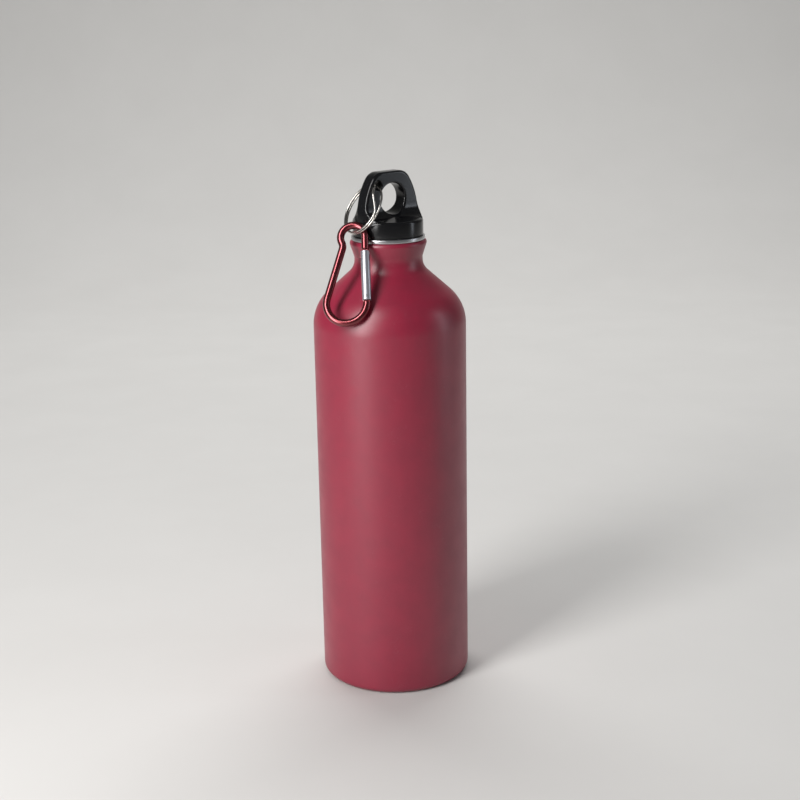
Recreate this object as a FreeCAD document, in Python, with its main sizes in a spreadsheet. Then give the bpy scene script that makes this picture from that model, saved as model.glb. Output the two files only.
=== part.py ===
import FreeCAD, Part
import math
import os
import Sketcher
from FreeCAD import Placement, Rotation, Vector

# A drinking bottle: drawn aluminium shell, screw cap with a loop plate, split ring and carabiner.
# Millimetres. +Z is up along the bottle's axis, z = 0 is the table, -Y is the side that is looked at.

doc = FreeCAD.newDocument("water_bottle")
sheet = doc.addObject("Spreadsheet::Sheet", "dims")

# how many points the split ring's wire is drawn through
RING_STATIONS = 97

DIMENSIONS = {
    # bottle shell
    "shell_radius": 37.0,
    "shell_wall": 0.8,
    "base_wall": 1.2,
    "base_edge_radius": 3.5,
    "foot_inner_radius": 30.0,
    "foot_inner_step": 0.4,
    "dome_radius": 27.0,
    "dome_lift": 2.2,
    "dome_height": 7.0,
    "shoulder_start": 180.0,
    "shoulder_radius": 21.3,
    "shoulder_turn": 48.0,
    "neck_radius": 16.4,
    "neck_fillet": 8.0,
    "neck_waist_height": 213.0,
    "bead_radius": 1.7,
    "bead_centre_radius": 16.75,
    "bead_flare": 17.0,
    "mouth_height": 221.3,
    # threaded insert
    "insert_bottom": 206.0,
    "insert_bore": 14.1,
    "flange_radius": 17.7,
    "flange_thick": 1.8,
    "rim_round": 0.4,
    "thread_pitch": 4.0,
    "thread_depth": 1.5,
    "thread_root": 1.7,
    "thread_crest": 0.9,
    "thread_sunk": 0.2,
    "insert_thread_start": 208.4,
    "insert_thread_turns": 2.5,
    "plug_thread_start": 210.4,
    "plug_thread_turns": 2.0,
    # stopper
    "plug_radius": 12.2,
    "plug_bore": 10.6,
    "plug_bottom": 208.4,
    "plug_flange_radius": 15.6,
    "plug_flange_thick": 1.6,
    "disc_thick": 1.4,
    "seal_thick": 1.2,
    "seal_radius": 15.4,
    "seal_clear": 0.05,
    "seal_bore_clear": 0.15,
    # cap
    "skirt_radius": 16.9,
    "skirt_gap": 0.25,
    "skirt_top": 231.2,
    "skirt_top_rise": 0.6,
    "skirt_round": 1.4,
    "plate_yaw": 40.0,
    "plate_thick": 7.0,
    "plate_top": 253.5,
    "plate_foot": 228.4,
    "plate_top_half": 5.4,
    "plate_corner_radius": 7.0,
    "plate_lean": 34.0,
    "plate_side_radius": 31.0,
    "plate_edge_round": 1.2,
    "eye_along": 0.5,
    "eye_height": 240.6,
    "eye_radius": 7.4,
    "eye_round": 0.9,
    "ring_hole_along": -8.3,
    "ring_hole_height": 247.6,
    "ring_hole_radius": 2.3,
    # split ring
    "ring_radius": 12.4,
    "ring_wire": 0.5,
    "ring_turn_gap": 0.55,
    "ring_splay": 4.2,
    "ring_splay_middle": 58.0,
    "ring_splay_reach": 48.0,
    "ring_jog_at": 215.0,
    "ring_jog": 12.0,
    "ring_swing_out": 32.0,
    "ring_twist": -8.0,
    "ring_slack": 0.15,
    # carabiner
    "rod_radius": 1.75,
    "arch_radius": 5.8,
    "kink_radius": 4.0,
    "bow_along": -3.31,
    "bow_drop": 37.6,
    "bow_radius": 9.57,
    "bow_start": 17.5,
    "carabiner_lean": 28.0,
    "carabiner_turn": 10.0,
    "carabiner_hang": 3.4,
    "carabiner_shift": 0.5,
    "nose_drop": 12.2,
    "hook_back": 1.2,
    "hook_front": 1.5,
    "hook_tip": 2.4,
    "hook_lip": 1.7,
    "notch_half": 0.75,
    "tongue_thick": 1.2,
    "tongue_round": 1.6,
    "tongue_root": 0.6,
    "pivot_drop": 35.2,
    # gate
    "gate_top": 13.0,
    "gate_bottom": 36.9,
    "gate_radius": 2.15,
    "gate_bore": 1.25,
    "gate_slot": 1.8,
    "gate_fork": 5.0,
    "gate_solid_end": 6.0,
    "gate_end_round": 0.5,
    "rivet_radius": 0.6,
    "rivet_clear": 0.06,
    "rivet_proud": 0.2,
    "latch_drop": 14.9,
    "latch_radius": 0.5,
    "latch_sunk": -0.05,
    "plunger_clear": 0.1,
    "plunger_length": 3.2,
    "spring_lead": 1.1,
    "spring_wire": 0.2,
    "spring_clear": 0.4,
}

for row, (alias, number) in enumerate(DIMENSIONS.items(), start=1):
    sheet.set(f"A{row}", alias)
    sheet.set(f"B{row}", str(number))
    sheet.setAlias(f"B{row}", alias)
doc.recompute()


def value(expression):
    """The number that an expression of the sheet's aliases gives now."""
    return float(sheet.evalExpression(expression))


def origin_plane(body, role):
    """One of a body's own origin planes, found by its role."""
    return next(feature for feature in body.Origin.OriginFeatures if feature.Role == role)


def add_sketch(body, name, role="XZ_Plane"):
    """An empty sketch on one of the body's origin planes."""
    sketch = body.newObject("Sketcher::SketchObject", name)
    sketch.AttachmentSupport = (origin_plane(body, role), [""])
    sketch.MapMode = "FlatFace"
    return sketch


def line_to(across, up):
    """A straight step to a corner given as two expressions."""
    return (across, up, None, 0)


def arc_to(across, up, radius, turn):
    """A round step. turn is +1 where the arc runs anticlockwise and -1 where it runs clockwise."""
    return (across, up, radius, turn)


def pin_point(sketch, geometry, point, across, up):
    """Tie one end of a line or arc to its place, given as two expressions."""
    for kind, axis, expression in (("DistanceX", -2, across), ("DistanceY", -1, up)):
        number = value(expression)
        if abs(number) < 1e-9:
            sketch.addConstraint(Sketcher.Constraint("PointOnObject", geometry, point, axis))
            continue
        index = sketch.addConstraint(Sketcher.Constraint(kind, -1, 1, geometry, point, number))
        sketch.setExpression(f"Constraints[{index}]", expression)


def add_step(sketch, corner, step):
    """One line or arc on from a corner. Gives its number, its two ends' numbers and the next corner."""
    across, up, radius, turn = step
    goal = Vector(value(across), value(up), 0)
    if radius is None:
        index = sketch.addGeometry(Part.LineSegment(corner, goal), False)
        begin, end = 1, 2
    else:
        size = value(radius)
        chord = goal - corner
        side = Vector(-chord.y, chord.x, 0).normalize() * turn
        centre = (corner + goal) * 0.5 + side * math.sqrt(max(size ** 2 - chord.Length ** 2 / 4, 0))
        low, high = (corner, goal) if turn > 0 else (goal, corner)
        low_angle = math.atan2(low.y - centre.y, low.x - centre.x)
        high_angle = math.atan2(high.y - centre.y, high.x - centre.x)
        circle = Part.Circle(centre, Vector(0, 0, 1), size)
        index = sketch.addGeometry(Part.ArcOfCircle(circle, low_angle, high_angle), False)
        begin, end = (1, 2) if turn > 0 else (2, 1)
        rule = sketch.addConstraint(Sketcher.Constraint("Radius", index, size))
        sketch.setExpression(f"Constraints[{rule}]", radius)
    return index, begin, end, goal


def add_run(sketch, start, steps, closed=True):
    """A run of lines and arcs from a start point. Each corner and each radius is bound to the sheet."""
    corner = Vector(value(start[0]), value(start[1]), 0)
    first, last = None, None
    for step in steps:
        index, begin, end, corner = add_step(sketch, corner, step)
        if first is None:
            first = (index, begin)
        else:
            sketch.addConstraint(Sketcher.Constraint("Coincident", *last, index, begin))
        pin_point(sketch, index, end, step[0], step[1])
        last = (index, end)
    if closed:
        sketch.addConstraint(Sketcher.Constraint("Coincident", *last, *first))
    else:
        pin_point(sketch, *first, *start)


def add_circle(sketch, across, up, radius):
    """A circle whose centre and radius are expressions."""
    centre = Vector(value(across), value(up), 0)
    index = sketch.addGeometry(Part.Circle(centre, Vector(0, 0, 1), value(radius)), False)
    pin_point(sketch, index, 3, across, up)
    rule = sketch.addConstraint(Sketcher.Constraint("Radius", index, value(radius)))
    sketch.setExpression(f"Constraints[{rule}]", radius)


def turned_body(label, start, steps):
    """A body made by turning one closed outline about the bottle's axis."""
    body = doc.addObject("PartDesign::Body", label)
    sketch = add_sketch(body, label + "_outline")
    add_run(sketch, start, steps)
    turned = body.newObject("PartDesign::Revolution", label + "_turned")
    turned.Profile = sketch
    turned.ReferenceAxis = (sketch, ["V_Axis"])
    turned.Angle = 360
    return body


def add_thread(body, inside, start):
    """A right-handed thread with a trapezoid tooth. inside is True where the tooth points inwards."""
    label = body.Name + "_thread"
    sketch = add_sketch(body, label + "_tooth")
    wall = "dims.insert_bore + dims.thread_sunk" if inside else "dims.plug_radius - dims.thread_sunk"
    crest = "dims.insert_bore - dims.thread_depth" if inside else "dims.plug_radius + dims.thread_depth"
    low, high = f"{start} - dims.thread_root / 2", f"{start} + dims.thread_root / 2"
    crest_low, crest_high = f"{start} - dims.thread_crest / 2", f"{start} + dims.thread_crest / 2"
    corners = [line_to(crest, crest_low), line_to(crest, crest_high), line_to(wall, high), line_to(wall, low)]
    add_run(sketch, (wall, low), corners)
    thread = body.newObject("PartDesign::AdditiveHelix", label)
    thread.Profile = sketch
    thread.ReferenceAxis = (sketch, ["V_Axis"])
    thread.Mode = "pitch-turns-angle"
    thread.setExpression("Pitch", "dims.thread_pitch")
    thread.setExpression("Turns", "dims.insert_thread_turns" if inside else "dims.plug_thread_turns")
    return thread


def make_shell():
    """Thin drawn wall: domed base, straight side, round shoulder, waisted neck and rolled bead."""
    d = "dims."
    turn = f"{d}shoulder_turn"
    hub = f"({d}shell_radius - {d}shoulder_radius)"
    slope = f"(90 - {turn})"
    fillet_hub = f"({d}neck_radius + {d}neck_fillet)"
    outer = f"{d}shoulder_radius"
    inner = f"({d}shoulder_radius - {d}shell_wall)"
    outer_fillet = f"{d}neck_fillet"
    inner_fillet = f"({d}neck_fillet + {d}shell_wall)"
    # where the straight slope meets the neck's fillet, and the height of the fillet's centre
    slope_foot_r = f"({hub} + {outer} * cos({turn}))"
    slope_foot_z = f"({d}shoulder_start + {outer} * sin({turn}))"
    slope_top_r = f"({fillet_hub} - {outer_fillet} * sin({slope}))"
    slope_top_z = f"({slope_foot_z} + ({slope_foot_r} - {slope_top_r}) * tan({slope}))"
    fillet_z = f"({slope_top_z} + {outer_fillet} * cos({slope}))"
    bead_z = f"({d}mouth_height - {d}bead_radius)"
    flare_r = f"{d}bead_centre_radius + {d}bead_radius * cos({d}bead_flare)"
    flare_z = f"{bead_z} - {d}bead_radius * sin({d}bead_flare)"
    dome_rise = f"({d}dome_height - {d}dome_lift)"
    dome_arc = f"({d}dome_radius ^ 2 + {dome_rise} ^ 2) / (2 * {dome_rise})"
    bore = f"{d}neck_radius - {d}shell_wall"
    steps = [
        arc_to(f"{d}dome_radius", f"{d}dome_lift", dome_arc, -1),
        line_to(f"{d}foot_inner_radius", "0"),
        line_to(f"{d}shell_radius - {d}base_edge_radius", "0"),
        arc_to(f"{d}shell_radius", f"{d}base_edge_radius", f"{d}base_edge_radius", 1),
        line_to(f"{d}shell_radius", f"{d}shoulder_start"),
        arc_to(slope_foot_r, slope_foot_z, outer, 1),
        line_to(slope_top_r, slope_top_z),
        arc_to(f"{d}neck_radius", fillet_z, outer_fillet, -1),
        line_to(f"{d}neck_radius", f"{d}neck_waist_height"),
        line_to(flare_r, flare_z),
        arc_to(f"{d}bead_centre_radius", f"{d}mouth_height", f"{d}bead_radius", 1),
        line_to(bore, f"{d}mouth_height"),
        line_to(bore, fillet_z),
        arc_to(f"{fillet_hub} - {inner_fillet} * sin({slope})",
               f"{fillet_z} - {inner_fillet} * cos({slope})", inner_fillet, 1),
        line_to(f"{hub} + {inner} * cos({turn})", f"{d}shoulder_start + {inner} * sin({turn})"),
        arc_to(f"{d}shell_radius - {d}shell_wall", f"{d}shoulder_start", inner, -1),
        line_to(f"{d}shell_radius - {d}shell_wall", f"{d}base_edge_radius"),
        arc_to(f"{d}shell_radius - {d}shell_wall - {d}base_edge_radius + {d}base_wall", f"{d}base_wall",
               f"{d}base_edge_radius - {d}base_wall", -1),
        line_to(f"{d}foot_inner_radius + {d}foot_inner_step", f"{d}base_wall"),
        line_to(f"{d}dome_radius", f"{d}dome_lift + {d}base_wall"),
        arc_to("0", f"{d}dome_height + {d}base_wall", dome_arc, 1),
        line_to("0", f"{d}dome_height"),
    ]
    turned_body("bottle_shell", ("0", f"{d}dome_height"), steps)


def make_insert():
    """Threaded aluminium ring in the neck. Its flange lies on the mouth and shows as a bright rim."""
    outside = "dims.neck_radius - dims.shell_wall"
    top = "dims.mouth_height + dims.flange_thick"
    body = turned_body("neck_insert", ("dims.insert_bore", "dims.insert_bottom"), [
        line_to(outside, "dims.insert_bottom"),
        line_to(outside, "dims.mouth_height"),
        line_to("dims.flange_radius", "dims.mouth_height"),
        line_to("dims.flange_radius", f"{top} - dims.rim_round"),
        arc_to("dims.flange_radius - dims.rim_round", top, "dims.rim_round", 1),
        line_to("dims.insert_bore", top),
        line_to("dims.insert_bore", "dims.insert_bottom"),
    ])
    add_thread(body, True, "dims.insert_thread_start")


def make_stopper():
    """The cap's threaded stopper, the disc that closes it from below, and its silicone seal."""
    seal_bottom = "dims.mouth_height + dims.flange_thick + dims.seal_clear"
    flange_bottom = f"{seal_bottom} + dims.seal_thick + dims.seal_clear"
    flange_top = f"{flange_bottom} + dims.plug_flange_thick"
    body = turned_body("cap_plug", ("dims.plug_bore", "dims.plug_bottom"), [
        line_to("dims.plug_radius", "dims.plug_bottom"),
        line_to("dims.plug_radius", flange_bottom),
        line_to("dims.plug_flange_radius", flange_bottom),
        line_to("dims.plug_flange_radius", flange_top),
        line_to("dims.plug_bore", flange_top),
        line_to("dims.plug_bore", "dims.plug_bottom"),
    ])
    add_thread(body, False, "dims.plug_thread_start")
    disc_top = "dims.plug_bottom + dims.disc_thick"
    turned_body("plug_disc", ("0", "dims.plug_bottom"), [
        line_to("dims.plug_bore", "dims.plug_bottom"),
        line_to("dims.plug_bore", disc_top),
        line_to("0", disc_top),
        line_to("0", "dims.plug_bottom"),
    ])
    seal_bore = "dims.plug_radius + dims.seal_bore_clear"
    seal_top = f"{seal_bottom} + dims.seal_thick"
    turned_body("sealing_gasket", (seal_bore, seal_bottom), [
        line_to("dims.seal_radius", seal_bottom),
        line_to("dims.seal_radius", seal_top),
        line_to(seal_bore, seal_top),
        line_to(seal_bore, seal_bottom),
    ])


def make_cap():
    """Round skirt with a loop plate on it, moulded in one, turned to the plate's yaw."""
    skirt_bottom = "dims.mouth_height + dims.flange_thick + dims.skirt_gap"
    recess_top = ("dims.mouth_height + dims.flange_thick + 2 * dims.seal_clear + dims.seal_thick"
                  " + dims.plug_flange_thick")
    recess_radius = "dims.plug_flange_radius"
    body = turned_body("cap_shell", ("0", recess_top), [
        line_to(recess_radius, recess_top),
        line_to(recess_radius, skirt_bottom),
        line_to("dims.skirt_radius - dims.rim_round", skirt_bottom),
        arc_to("dims.skirt_radius", f"{skirt_bottom} + dims.rim_round", "dims.rim_round", 1),
        line_to("dims.skirt_radius", "dims.skirt_top - dims.skirt_round"),
        arc_to("dims.skirt_radius - dims.skirt_round", "dims.skirt_top", "dims.skirt_round", 1),
        line_to("0", "dims.skirt_top + dims.skirt_top_rise"),
        line_to("0", recess_top),
    ])
    corner_up = "dims.plate_top - dims.plate_corner_radius"
    lean_across = "dims.plate_top_half + dims.plate_corner_radius * cos(dims.plate_lean)"
    lean_up = f"{corner_up} + dims.plate_corner_radius * sin(dims.plate_lean)"
    side_across = f"({lean_across} - dims.plate_side_radius * cos(dims.plate_lean))"
    side_up = f"({lean_up} - dims.plate_side_radius * sin(dims.plate_lean))"
    foot = f"{side_across} + sqrt(dims.plate_side_radius ^ 2 - (dims.plate_foot - {side_up}) ^ 2)"
    sketch = add_sketch(body, "loop_plate_outline")
    add_run(sketch, (f"-({foot})", "dims.plate_foot"), [
        line_to(foot, "dims.plate_foot"),
        arc_to(lean_across, lean_up, "dims.plate_side_radius", 1),
        arc_to("dims.plate_top_half", "dims.plate_top", "dims.plate_corner_radius", 1),
        line_to("-dims.plate_top_half", "dims.plate_top"),
        arc_to(f"-({lean_across})", lean_up, "dims.plate_corner_radius", 1),
        arc_to(f"-({foot})", "dims.plate_foot", "dims.plate_side_radius", 1),
    ])
    plate = body.newObject("PartDesign::Pad", "loop_plate")
    plate.Profile = sketch
    plate.Midplane = True
    plate.setExpression("Length", "dims.plate_thick")
    doc.recompute()
    round_plate_edges(body, plate)
    make_eye(body)
    make_ring_hole(body)
    body.Placement = Placement(Vector(0, 0, 0), Rotation(Vector(0, 0, 1), value("dims.plate_yaw")))


def round_plate_edges(body, plate):
    """Round the edges of both of the plate's faces, apart from those at its foot inside the skirt."""
    half = value("dims.plate_thick") / 2
    above_skirt = value("dims.skirt_top") + value("dims.skirt_top_rise")
    outer = []
    for number, edge in enumerate(plate.Shape.Edges, start=1):
        box = edge.BoundBox
        on_face = abs(abs(box.YMin) - half) < 1e-3 and abs(box.YMax - box.YMin) < 1e-3
        if on_face and box.ZMax > above_skirt:
            outer.append(f"Edge{number}")
    rounded = body.newObject("PartDesign::Fillet", "plate_edge_rounds")
    rounded.Base = (plate, outer)
    rounded.setExpression("Radius", "dims.plate_edge_round")


def make_eye(body):
    """The big hole for a finger, with a rounded rim on both faces."""
    sketch = add_sketch(body, "eye_outline")
    add_circle(sketch, "dims.eye_along", "dims.eye_height", "dims.eye_radius")
    pocket = body.newObject("PartDesign::Pocket", "eye")
    pocket.Profile = sketch
    pocket.Midplane = True
    pocket.Type = 1
    doc.recompute()
    radius = value("dims.eye_radius")
    rims = [f"Edge{number}" for number, edge in enumerate(pocket.Shape.Edges, start=1)
            if isinstance(edge.Curve, Part.Circle) and abs(edge.Curve.Radius - radius) < 1e-6
            and abs(edge.Curve.Axis.y) > 0.99]
    rounded = body.newObject("PartDesign::Fillet", "eye_rim")
    rounded.Base = (pocket, rims)
    rounded.setExpression("Radius", "dims.eye_round")


def make_ring_hole(body):
    """The small hole that the split ring goes through."""
    sketch = add_sketch(body, "ring_hole_outline")
    add_circle(sketch, "dims.ring_hole_along", "dims.ring_hole_height", "dims.ring_hole_radius")
    pocket = body.newObject("PartDesign::Pocket", "ring_hole")
    pocket.Profile = sketch
    pocket.Midplane = True
    pocket.Type = 1


def plate_frame():
    """The plate's unit vectors in the row frame: along it, and out of the face that is looked at."""
    yaw = math.radians(value("dims.plate_yaw"))
    return Vector(math.cos(yaw), math.sin(yaw), 0), Vector(math.sin(yaw), -math.cos(yaw), 0)


def ring_frame():
    """The split ring's hole point, centre, unit vectors (hanging, front, normal) and lowest point."""
    along, out = plate_frame()
    up = Vector(0, 0, 1)
    swing = math.radians(value("dims.ring_swing_out"))
    twist = math.radians(value("dims.ring_twist"))
    hang = along * -math.sin(swing) - up * math.cos(swing)
    normal = (along * -math.cos(swing) + up * math.sin(swing)) * math.cos(twist) + out * math.sin(twist)
    front = normal.cross(hang)
    hole = along * value("dims.ring_hole_along") + up * value("dims.ring_hole_height")
    centre = hole + hang * value("dims.ring_radius + dims.ring_slack")
    down = (up * -1 + normal * normal.z).normalize()
    lowest = centre + down * value("dims.ring_radius")
    return {"hole": hole, "centre": centre, "hang": hang, "front": front, "normal": normal, "lowest": lowest}


def make_split_ring():
    """Two turns of spring wire. One stands off the other beside the plate, as when it is threaded on."""
    place = ring_frame()
    radius, gap = value("dims.ring_radius"), value("dims.ring_turn_gap")
    middle, half_reach = value("dims.ring_splay_middle"), value("dims.ring_splay_reach")
    jog = value("dims.ring_jog")
    points = []
    for step in range(RING_STATIONS):
        travel = jog + (720.0 - 2 * jog) * step / (RING_STATIONS - 1)
        degrees = value("dims.ring_jog_at") + travel
        angle = math.radians(degrees)
        side = max(-1.0, min(1.0, (travel - 360.0) / jog))
        offset = gap * math.sin(math.radians(90.0 * side))
        reach = ((degrees % 360.0) - middle) / half_reach
        if side > 0 and abs(reach) < 1:
            offset += value("dims.ring_splay") * math.cos(math.radians(90.0 * reach)) ** 2
        in_plane = place["hang"] * -math.cos(angle) + place["front"] * math.sin(angle)
        points.append(place["centre"] + in_plane * radius + place["normal"] * offset)
    route = Part.BSplineCurve()
    route.interpolate(points)
    spine = Part.Wire([route.toShape()])
    section = Part.Wire([Part.Circle(points[0], route.tangent(0)[0], value("dims.ring_wire")).toShape()])
    ring = doc.addObject("Part::Feature", "split_ring")
    ring.Shape = spine.makePipeShell([section], True, True)


def carabiner_placement():
    """The carabiner's own frame: its XZ plane is the frame's plane, its origin the top of its arch."""
    lean = math.radians(value("dims.carabiner_lean"))
    turn = math.radians(value("dims.carabiner_turn"))
    down = Vector(0, -math.sin(lean), -math.cos(lean))
    outward = Vector(0, -math.cos(lean), math.sin(lean))
    right = Vector(1, 0, 0) * math.cos(turn) + outward * math.sin(turn)
    top = ring_frame()["lowest"] + Vector(0, 0, value("dims.carabiner_hang"))
    top += right * value("dims.carabiner_shift")
    up = down * -1
    turned = Rotation(right, up.cross(right), up, "ZXY")
    return Placement(top, turned)


def make_carabiner_frame():
    """Bent rod: small arch, kinked spine, wide bow, flat tongues for the gate's pivot and latch."""
    body = doc.addObject("PartDesign::Body", "carabiner_frame")
    path = add_sketch(body, "rod_path")
    start = "dims.bow_start"
    reach = "(dims.arch_radius + dims.kink_radius)"
    # the kink's arc touches the arch and the straight spine; (turn_cos, turn_sin) points at its centre
    share = (f"((dims.bow_along * cos({start}) + (dims.bow_drop - dims.arch_radius) * sin({start})"
             f" - dims.bow_radius - dims.kink_radius) / {reach})")
    lift = f"sqrt(1 - {share} ^ 2)"
    turn_cos = f"({share} * cos({start}) - {lift} * sin({start}))"
    turn_sin = f"(0 - {lift} * cos({start}) - {share} * sin({start}))"
    bow_across = f"dims.bow_along - dims.bow_radius * cos({start})"
    bow_up = f"-dims.bow_drop + dims.bow_radius * sin({start})"
    add_run(path, ("dims.arch_radius", "-dims.nose_drop"), [
        line_to("dims.arch_radius", "-dims.arch_radius"),
        arc_to("0", "0", "dims.arch_radius", 1),
        arc_to(f"dims.arch_radius * {turn_cos}", f"-dims.arch_radius + dims.arch_radius * {turn_sin}",
               "dims.arch_radius", 1),
        arc_to(f"{reach} * {turn_cos} + dims.kink_radius * cos({start})",
               f"-dims.arch_radius + {reach} * {turn_sin} - dims.kink_radius * sin({start})",
               "dims.kink_radius", -1),
        line_to(bow_across, bow_up),
        arc_to("dims.bow_along", "-dims.bow_drop - dims.bow_radius", "dims.bow_radius", 1),
        arc_to("dims.bow_along + dims.bow_radius", "-dims.bow_drop", "dims.bow_radius", 1),
    ], closed=False)
    section = add_sketch(body, "rod_section", "XY_Plane")
    section.AttachmentOffset = Placement(Vector(0, 0, -value("dims.nose_drop")), Rotation())
    section.setExpression("AttachmentOffset.Base.z", "-dims.nose_drop")
    add_circle(section, "dims.arch_radius", "0", "dims.rod_radius")
    rod = body.newObject("PartDesign::AdditivePipe", "rod")
    rod.Profile = section
    rod.Spine = path
    rod.Mode = "Frenet"
    rod.Transition = "Round corner"
    add_tongues(body)
    body.Placement = carabiner_placement()


def add_tongues(body):
    """Flat tongues on both rod ends: a hooked one at the nose, a round one with a hole at the pivot."""
    hook = add_sketch(body, "hook_outline")
    back, front = "dims.arch_radius - dims.hook_back", "dims.arch_radius + dims.hook_front"
    tip, notch_end = "dims.arch_radius - dims.hook_tip", "dims.arch_radius + dims.notch_half"
    notch_high, notch_low = "-dims.latch_drop + dims.notch_half", "-dims.latch_drop - dims.notch_half"
    root, lip = "-dims.nose_drop + dims.tongue_root", "-dims.latch_drop - dims.hook_lip"
    add_run(hook, (back, root), [
        line_to(back, notch_high),
        line_to(notch_end, notch_high),
        line_to(notch_end, notch_low),
        line_to(tip, notch_low),
        line_to(tip, lip),
        line_to(front, lip),
        line_to(front, root),
        line_to(back, root),
    ])
    tongue = add_sketch(body, "pivot_tongue_outline")
    middle = "dims.bow_along + dims.bow_radius"
    west, east = f"{middle} - dims.tongue_round", f"{middle} + dims.tongue_round"
    foot = "-dims.bow_drop - dims.tongue_root"
    add_run(tongue, (west, foot), [
        line_to(east, foot),
        line_to(east, "-dims.pivot_drop"),
        arc_to(middle, "-dims.pivot_drop + dims.tongue_round", "dims.tongue_round", 1),
        arc_to(west, "-dims.pivot_drop", "dims.tongue_round", 1),
        line_to(west, foot),
    ])
    for sketch, name in ((hook, "nose_hook"), (tongue, "pivot_tongue")):
        pad = body.newObject("PartDesign::Pad", name)
        pad.Profile = sketch
        pad.Midplane = True
        pad.setExpression("Length", "dims.tongue_thick")
    hole = add_sketch(body, "pivot_hole_outline")
    add_circle(hole, middle, "-dims.pivot_drop", "dims.rivet_radius + dims.rivet_clear")
    pocket = body.newObject("PartDesign::Pocket", "pivot_hole")
    pocket.Profile = hole
    pocket.Midplane = True
    pocket.Type = 1


def make_gate():
    """Gate tube with a fork at each end, its rivet, latch pin, plunger and spring."""
    place = carabiner_placement()
    along = value("dims.bow_along + dims.bow_radius")
    drop = value("dims.pivot_drop")
    lean = math.atan2(along - value("dims.arch_radius"), drop - value("dims.latch_drop"))
    pivot = place.multVec(Vector(along, 0, -drop))
    turned = place.Rotation * Rotation(Vector(0, 1, 0), math.degrees(-lean))
    foot = pivot - turned.multVec(Vector(0, 0, value("dims.gate_bottom") - drop))
    tube_place = Placement(foot, turned)
    body = doc.addObject("PartDesign::Body", "gate_sleeve")
    length = "(dims.gate_bottom - dims.gate_top)"
    outline = add_sketch(body, "tube_outline")
    add_run(outline, ("dims.gate_bore", "0"), [
        line_to("dims.gate_radius", "0"),
        line_to("dims.gate_radius", f"{length} - dims.gate_end_round"),
        arc_to("dims.gate_radius - dims.gate_end_round", length, "dims.gate_end_round", 1),
        line_to("0", length),
        line_to("0", f"{length} - dims.gate_solid_end"),
        line_to("dims.gate_bore", f"{length} - dims.gate_solid_end"),
        line_to("dims.gate_bore", "0"),
    ])
    tube = body.newObject("PartDesign::Revolution", "tube")
    tube.Profile = outline
    tube.ReferenceAxis = (outline, ["V_Axis"])
    tube.Angle = 360
    forks = (("pivot_fork", "0", "dims.gate_fork"), ("latch_fork", f"{length} - dims.gate_fork", length))
    for name, low, high in forks:
        slot = add_sketch(body, name + "_outline", "YZ_Plane")
        add_run(slot, ("-dims.gate_slot / 2", low), [
            line_to("dims.gate_slot / 2", low),
            line_to("dims.gate_slot / 2", high),
            line_to("-dims.gate_slot / 2", high),
            line_to("-dims.gate_slot / 2", low),
        ])
        cut = body.newObject("PartDesign::Pocket", name)
        cut.Profile = slot
        cut.Midplane = True
        cut.Type = 1
    rivet_level, latch_level = "dims.gate_bottom - dims.pivot_drop", "dims.gate_bottom - dims.latch_drop"
    for name, level, radius in (("rivet_hole", rivet_level, "dims.rivet_radius"),
                                ("latch_hole", latch_level, "dims.latch_radius")):
        hole = add_sketch(body, name + "_outline")
        add_circle(hole, "0", level, radius)
        cut = body.newObject("PartDesign::Pocket", name)
        cut.Profile = hole
        cut.Midplane = True
        cut.Type = 1
    body.Placement = tube_place
    make_cross_pin("gate_rivet", tube_place, rivet_level, "dims.rivet_radius", "dims.rivet_proud")
    make_cross_pin("latch_pin", tube_place, latch_level, "dims.latch_radius", "dims.latch_sunk")
    make_plunger(tube_place)
    make_gate_spring(tube_place)


def make_cross_pin(label, tube_place, level, radius, proud):
    """A pin across the gate's fork, at a level above the gate's foot."""
    pin = doc.addObject("Part::Cylinder", label)
    pin.setExpression("Radius", radius)
    pin.setExpression("Height", f"2 * (dims.gate_radius + {proud})")
    half = value(f"dims.gate_radius + {proud}")
    start = tube_place.multVec(Vector(0, half, value(level)))
    pin.Placement = Placement(start, tube_place.Rotation * Rotation(Vector(1, 0, 0), 90))


def make_plunger(tube_place):
    """The small pin that the spring pushes against the end of the pivot tongue."""
    plunger = doc.addObject("Part::Cylinder", "gate_plunger")
    plunger.setExpression("Radius", "dims.gate_bore - dims.plunger_clear")
    plunger.setExpression("Height", "dims.plunger_length")
    level = value("dims.gate_bottom - dims.pivot_drop + dims.tongue_round + dims.plunger_clear")
    plunger.Placement = Placement(tube_place.multVec(Vector(0, 0, level)), tube_place.Rotation)


def make_gate_spring(tube_place):
    """Small compression spring in the gate's bore, above the plunger."""
    plunger_top = "dims.gate_bottom - dims.pivot_drop + dims.tongue_round + dims.plunger_length"
    level = value(f"{plunger_top} + dims.spring_clear")
    top = value("dims.gate_bottom - dims.gate_top - dims.gate_solid_end - dims.spring_clear")
    radius, wire = value("dims.gate_bore - dims.spring_clear"), value("dims.spring_wire")
    helix = Part.makeHelix(value("dims.spring_lead"), top - level, radius)
    section = Part.Wire([Part.Circle(Vector(radius, 0, 0), Vector(0, 1, 0), wire).toShape()])
    coil = Part.Wire(helix.Edges).makePipeShell([section], True, True)
    spring = doc.addObject("Part::Feature", "gate_spring")
    spring.Shape = coil
    spring.Placement = tube_place * Placement(Vector(0, 0, level), Rotation())


make_shell()
make_insert()
make_stopper()
make_cap()
make_split_ring()
make_carabiner_frame()
make_gate()
doc.recompute()

PARTS = [
    "bottle_shell", "neck_insert", "cap_shell", "cap_plug", "plug_disc", "sealing_gasket", "split_ring",
    "carabiner_frame", "gate_sleeve", "gate_rivet", "latch_pin", "gate_plunger", "gate_spring",
]

for item in doc.Objects:
    bad = [state for state in item.State if state in ("Invalid", "Error")]
    if bad:
        raise RuntimeError(f"{item.Label} is {bad}")

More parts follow.
